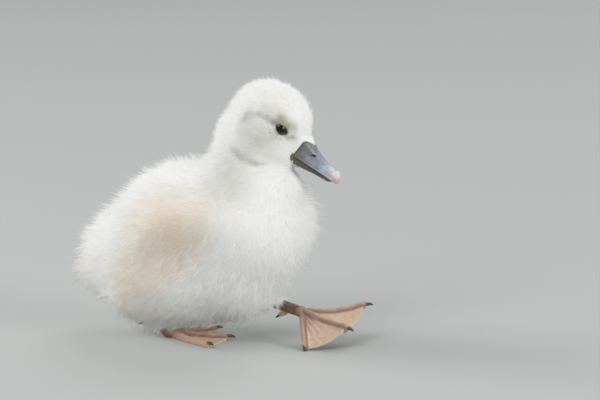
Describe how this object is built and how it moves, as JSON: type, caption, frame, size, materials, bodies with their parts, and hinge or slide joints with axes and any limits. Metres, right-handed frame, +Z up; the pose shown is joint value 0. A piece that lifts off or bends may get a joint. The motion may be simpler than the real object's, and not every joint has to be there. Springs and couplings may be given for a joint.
{
  "type": "mute swan cygnet",
  "caption": "Life-size still figure of a downy young mute swan in mid-step, its neck upright, head turned a little and bill lowered, standing on webbed feet.",
  "frame": {"origin": "middle of the bounding box in plan, at floor level under the feet", "axes": "+X the way the trunk faces, +Y its left side, +Z up"},
  "size_m": [0.1552, 0.0804, 0.1394],
  "materials": {
    "down": "soft, matt white down",
    "wing_down": "soft down tinged beige",
    "leg_skin": "finely scaled brown skin",
    "foot_skin": "finely scaled pinkish brown skin, slightly damp",
    "bill": "satin slate-grey horn",
    "nail": "satin pale horn",
    "eye": "wet gloss, nearly black",
    "claw": "satin dark horn"
  },
  "bodies": {
    "root": {"head": "down", "neck": "down", "trunk": "down", "tail": "down", "wing_left": "wing_down", "wing_right": "wing_down", "thigh_left": "down", "thigh_right": "down", "shank_left": "leg_skin", "shank_right": "leg_skin", "foot_left": "foot_skin", "foot_right": "foot_skin", "hind_toe_left": "foot_skin", "hind_toe_right": "foot_skin", "bill_upper": "bill", "bill_lower": "bill", "bill_nail": "nail", "eye_left": "eye", "eye_right": "eye", "claw_left_inner": "claw", "claw_left_middle": "claw", "claw_left_outer": "claw", "claw_left_hind": "claw", "claw_right_inner": "claw", "claw_right_middle": "claw", "claw_right_outer": "claw", "claw_right_hind": "claw"}
  },
  "joints": []
}
